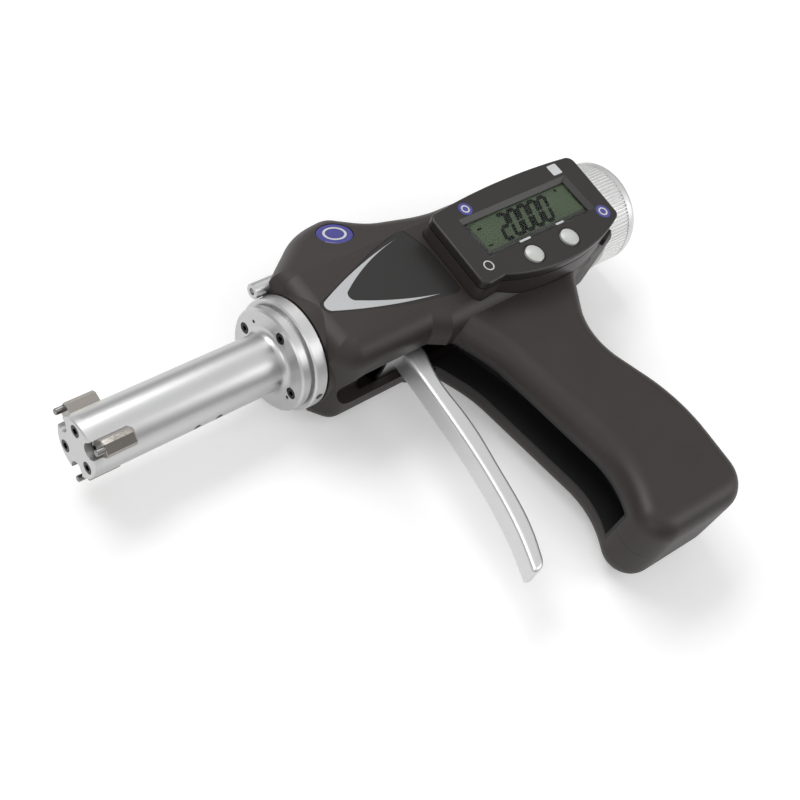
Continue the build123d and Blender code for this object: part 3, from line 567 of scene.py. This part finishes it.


# the return spring, copied from the frame's spring with its doubled points merged and its faces smoothed;
# on the gauge it shortens towards its seat while the rod travels, but this copy keeps the frame's shape
springFit = dict(seatEnd=145.9, length=35.65, travel=7.68, merge=0.001, smoothAngle=40)


def returnSpring():
    coil = bpy.data.objects.new("returnSpring", nodes["return_spring"].data.copy())
    bpy.context.scene.collection.objects.link(coil)
    only(coil)
    bpy.ops.object.mode_set(mode="EDIT")
    bpy.ops.mesh.select_all(action="SELECT")
    bpy.ops.mesh.remove_doubles(threshold=springFit["merge"] / 1000)
    bpy.ops.object.mode_set(mode="OBJECT")
    smooth(settle(coil, "returnSpring"), springFit["smoothAngle"])
    finished(coil, "springSteel")
    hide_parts("return_spring")
    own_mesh(coil)


# a plain pale ring on the round badge of the hump's flank, which leans back by its tilt
badgeRing = dict(at=(107.0, 23.97), height=14.13, tilt=math.atan(0.4), radius=3.9, width=0.8, thick=0.05)


def badgeMark():
    b = badgeRing
    band = ring((0, 0, 0), b["radius"], b["width"], b["thick"], "badgeRing")
    band.rotation_euler = (-b["tilt"], 0, 0)
    band.location = place(*b["at"], b["height"])
    finished(settle(band, "badgeRing"), "markPale")


# plain discs, rings and bars on the display's face, each given by its middle and its size
faceprint = dict(
    level=26.9, thick=0.05, discs=((144.9, 7.15, 2.5), (193.2, -14.0, 2.75)),
    discRing=(0.62, 0.2),  # the ring's radius and width, as shares of its disc's radius
    bars=((156.2, -11.45, 5.2, 0.75), (173.6, -11.15, 3.8, 0.75)), barCorner=0.4,
    ring=(136.4, -14.4, 1.9), ringWidth=0.42, tile=(189.4, 7.9, 4.4), tileCorner=0.5,
)


def faceMarks():
    f = faceprint
    thick = f["thick"]
    level = f["level"] + thick / 2
    share, width = f["discRing"]
    for n, (x, y, radius) in enumerate(f["discs"], 1):
        plate = disc(place(x, y, f["level"] + thick), radius, 2 * thick, f"faceDisc{n}")
        finished(plate, "badgeBlue")
        over = place(x, y, f["level"] + 2.2 * thick)
        band = ring(over, radius * share, radius * width, thick, f"faceRing{n}")
        finished(band, "markPale")
    bars = [flatTile(place(x, y, level), wide, tall, thick, tall * f["barCorner"])
            for x, y, wide, tall in f["bars"]]
    finished(joined(bars, "buttonBars"), "markPale")
    x, y, radius = f["ring"]
    band = ring(place(x, y, level), radius, f["ringWidth"], thick, "cornerRing")
    finished(band, "markPale")
    x, y, side = f["tile"]
    tile = flatTile(place(x, y, level), side, side, thick, f["tileCorner"])
    finished(settle(tile, "cornerTile"), "markPale")


readoutFigures()
readoutMarks()
borderFrame()
print("readout made")
faceMarks()
badgeMark()
print("printed marks made")
housingScrews()
returnSpring()
print("screws and spring made")


# the floor, in m: its glow for the camera rises from near to far, so that it runs into the background
floorLook = dict(size=3.0, drop=0.0002, color=(0.86, 0.86, 0.86, 1), rough=0.9, shine=0.1,
                 glowNear=0.30, glowFar=1.0, near=0.30, far=0.90, glowMirrored=0.22)


def backdrop():
    f = floorLook
    deselectAll()
    bpy.ops.mesh.primitive_plane_add(size=f["size"], location=(0, 0, -f["drop"]))
    floor = settle(bpy.context.object, "floor")
    mat = bpy.data.materials.new("floorWhite")
    mat.use_nodes = True
    tree = mat.node_tree
    add, link = tree.nodes.new, tree.links.new
    shader = tree.nodes["Principled BSDF"]
    shader.inputs["Base Color"].default_value = f["color"]
    shader.inputs["Roughness"].default_value = f["rough"]
    shader.inputs["Specular IOR Level"].default_value = f["shine"]
    glow, both, path = add("ShaderNodeEmission"), add("ShaderNodeAddShader"), add("ShaderNodeLightPath")
    seen, mirrored, share = (add("ShaderNodeMath") for n in range(3))
    seen.operation, mirrored.operation, share.operation = "MULTIPLY", "MULTIPLY", "MAXIMUM"
    coord, distance = add("ShaderNodeTexCoord"), add("ShaderNodeVectorMath")
    distance.operation = "LENGTH"
    link(coord.outputs["Object"], distance.inputs[0])
    glowHere = ramped(tree, distance.outputs["Value"], f["glowNear"], f["glowFar"], f["near"], f["far"])
    link(path.outputs["Is Camera Ray"], seen.inputs[0])
    link(glowHere, seen.inputs[1])
    link(path.outputs["Is Glossy Ray"], mirrored.inputs[0])
    mirrored.inputs[1].default_value = f["glowMirrored"]
    link(seen.outputs[0], share.inputs[0])
    link(mirrored.outputs[0], share.inputs[1])
    link(share.outputs[0], glow.inputs["Strength"])
    link(shader.outputs[0], both.inputs[0])
    link(glow.outputs[0], both.inputs[1])
    link(both.outputs[0], tree.nodes["Material Output"].inputs["Surface"])
    floor.data.materials.append(mat)


# each lamp's place, width, height and power in W, then the world's light and what metal shows of it
lights = dict(
    lamps={"keyLamp": ((-0.10, 0.62, 0.80), (0.80, 0.35), 5.2),
           "fillLamp": ((-0.75, -0.25, 0.45), (0.4, 0.5), 1.1),
           "rimLamp": ((0.55, -0.45, 0.45), (0.35, 0.5), 1.4)},
    aim=(0, 0, 0.01), world=0.42, mirrored=0.9,
    # from straight down, 0, to straight up, 1: bright overhead, dimmest a little above the horizon
    stops=((0.0, 0.70), (0.5, 0.55), (0.60, 0.30), (0.78, 0.50), (0.90, 1.0), (1.0, 1.0)),
)


def areaLamp(name, at, size, power):
    deselectAll()
    bpy.ops.object.light_add(type="AREA", location=at)
    lamp = bpy.context.object
    lamp.name = name
    lamp.data.shape = "RECTANGLE"
    lamp.data.size, lamp.data.size_y = size
    lamp.data.energy = power
    lamp.rotation_mode = "QUATERNION"
    lamp.rotation_quaternion = (Vector(lights["aim"]) - Vector(at)).to_track_quat("-Z", "Y")


def studio():
    backdrop()
    for name, (at, size, power) in lights["lamps"].items():
        areaLamp(name, at, size, power)
    world = bpy.data.worlds.new("studio")
    bpy.context.scene.world = world
    world.use_nodes = True
    tree = world.node_tree
    tree.nodes.clear()
    add, link = tree.nodes.new, tree.links.new
    out, path = add("ShaderNodeOutputWorld"), add("ShaderNodeLightPath")
    seen, lit, gloss = (add("ShaderNodeBackground") for n in range(3))
    mix, glossMix = add("ShaderNodeMixShader"), add("ShaderNodeMixShader")
    either = add("ShaderNodeMath")
    either.operation = "MAXIMUM"
    # the camera sees plain white, and so does what it sees through the window
    link(path.outputs["Is Camera Ray"], either.inputs[0])
    link(path.outputs["Is Transmission Ray"], either.inputs[1])
    seen.inputs["Color"].default_value = (1, 1, 1, 1)
    seen.inputs["Strength"].default_value = 1.0
    lit.inputs["Color"].default_value = (1, 1, 1, 1)
    lit.inputs["Strength"].default_value = lights["world"]
    coord, split, ramp = add("ShaderNodeTexCoord"), add("ShaderNodeSeparateXYZ"), add("ShaderNodeValToRGB")
    link(coord.outputs["Generated"], split.inputs[0])
    height = add("ShaderNodeMapRange")
    height.inputs["From Min"].default_value = -1
    link(split.outputs["Z"], height.inputs["Value"])
    link(height.outputs["Result"], ramp.inputs["Fac"])
    while len(ramp.color_ramp.elements) < len(lights["stops"]):
        ramp.color_ramp.elements.new(0.5)
    for element, (position, level) in zip(ramp.color_ramp.elements, lights["stops"]):
        element.position = position
        element.color = (level, level, level, 1)
    link(ramp.outputs["Color"], gloss.inputs["Color"])
    gloss.inputs["Strength"].default_value = lights["mirrored"]
    link(path.outputs["Is Glossy Ray"], glossMix.inputs["Fac"])
    link(lit.outputs[0], glossMix.inputs[1])
    link(gloss.outputs[0], glossMix.inputs[2])
    link(either.outputs[0], mix.inputs["Fac"])
    link(glossMix.outputs[0], mix.inputs[1])
    link(seen.outputs[0], mix.inputs[2])
    link(mix.outputs[0], out.inputs["Surface"])


# the camera: its place in the gauge's frame, its own right, up and back, and its lens in mm
photoView = dict(
    at=(-132.94, -140.95, 307.26), right=(0.72605495, -0.60653229, 0.3239796),
    up=(0.37803868, 0.74564035, 0.54873238), back=(-0.57439617, -0.27593304, 0.77066854),
    lens=58.03, sensor=36, clip=(0.01, 20))


def camera():
    v = photoView
    data = bpy.data.cameras.new("photoCamera")
    data.sensor_width = v["sensor"]
    data.lens = v["lens"]
    data.clip_start, data.clip_end = v["clip"]
    cam = bpy.data.objects.new("photoCamera", data)
    bpy.context.scene.collection.objects.link(cam)
    turn = Matrix((v["right"], v["up"], v["back"])).transposed().to_4x4()
    cam.matrix_world = Matrix.Translation(place(*v["at"])) @ turn
    bpy.context.scene.camera = cam


studio()
camera()
bpy.context.scene.view_settings.view_transform = "Standard"
print("stage, lamps and camera set")
